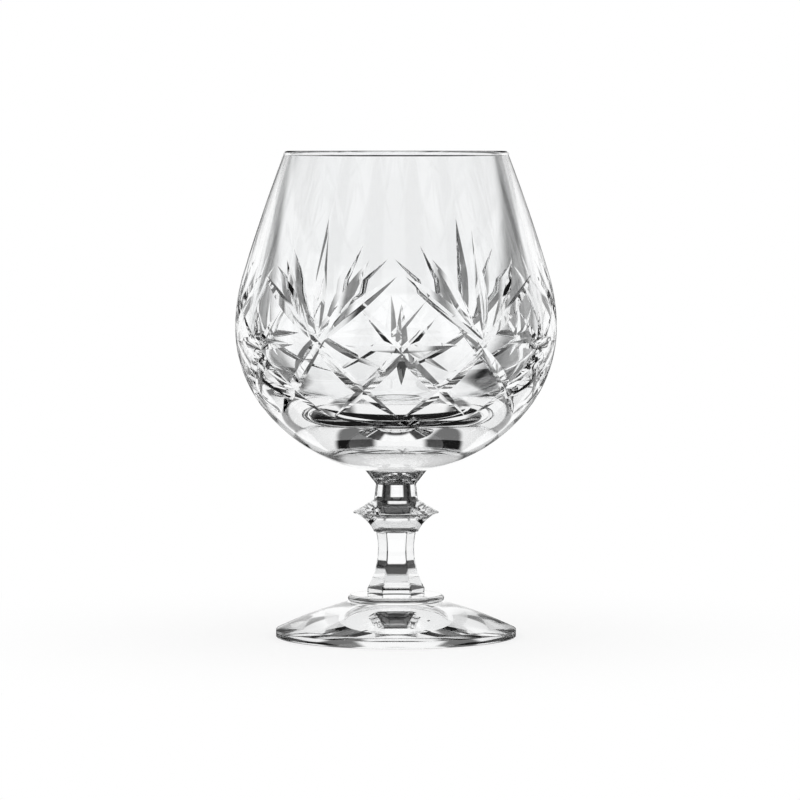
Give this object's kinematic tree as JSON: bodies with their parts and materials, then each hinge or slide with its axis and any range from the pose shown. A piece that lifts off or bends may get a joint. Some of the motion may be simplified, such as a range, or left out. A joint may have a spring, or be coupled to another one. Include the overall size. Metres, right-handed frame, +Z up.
{
  "type": "brandy snifter",
  "caption": "Clear cut-crystal brandy snifter: wide bowl narrowing to the mouth with fan and star mitre cuts, sharp-edged knop, short faceted stem, round collar and domed foot",
  "frame": {"origin": "on the table, at the centre of the foot", "axes": "+Z up along the glass's own axis; the side seen in the picture faces -Y, with a star of the cut pattern at -Y"},
  "size_m": [0.088, 0.088, 0.133],
  "materials": {
    "bowl_crystal": "clear blown crystal, outside mitre-cut and acid-polished",
    "knop_crystal": "clear solid crystal, polished",
    "stem_crystal": "clear solid crystal, flats cut and polished",
    "collar_crystal": "clear solid crystal, fire-polished",
    "foot_crystal": "clear solid crystal, edge fire-polished, resting ring ground flat"
  },
  "bodies": {
    "root": {"bowl": "bowl_crystal", "knop": "knop_crystal", "stem": "stem_crystal", "collar": "collar_crystal", "foot": "foot_crystal"}
  },
  "joints": []
}
